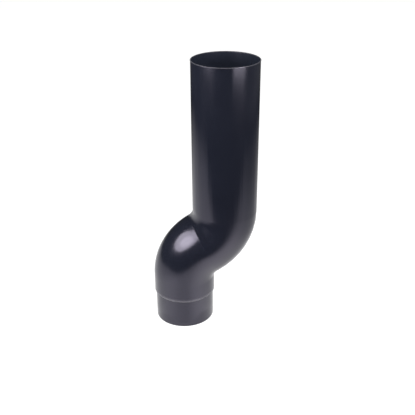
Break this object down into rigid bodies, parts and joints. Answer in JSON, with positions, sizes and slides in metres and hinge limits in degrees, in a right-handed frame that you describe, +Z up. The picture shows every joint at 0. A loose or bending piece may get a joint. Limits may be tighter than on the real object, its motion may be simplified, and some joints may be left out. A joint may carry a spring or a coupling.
{
  "type": "downpipe offset bend",
  "caption": "Round downpipe offset: straight upper pipe, two smooth bends, short collar and a reduced spigot, in dark anthracite.",
  "frame": {"origin": "centre of the spigot's lower end", "axes": "+Z up along the upper pipe and the spigot, +X from the spigot towards the upper pipe"},
  "size_m": [0.1635, 0.1, 0.416],
  "materials": {
    "coated_sheet": "smooth satin anthracite coating"
  },
  "bodies": {
    "root": {"offset_pipe": "coated_sheet"}
  },
  "joints": []
}
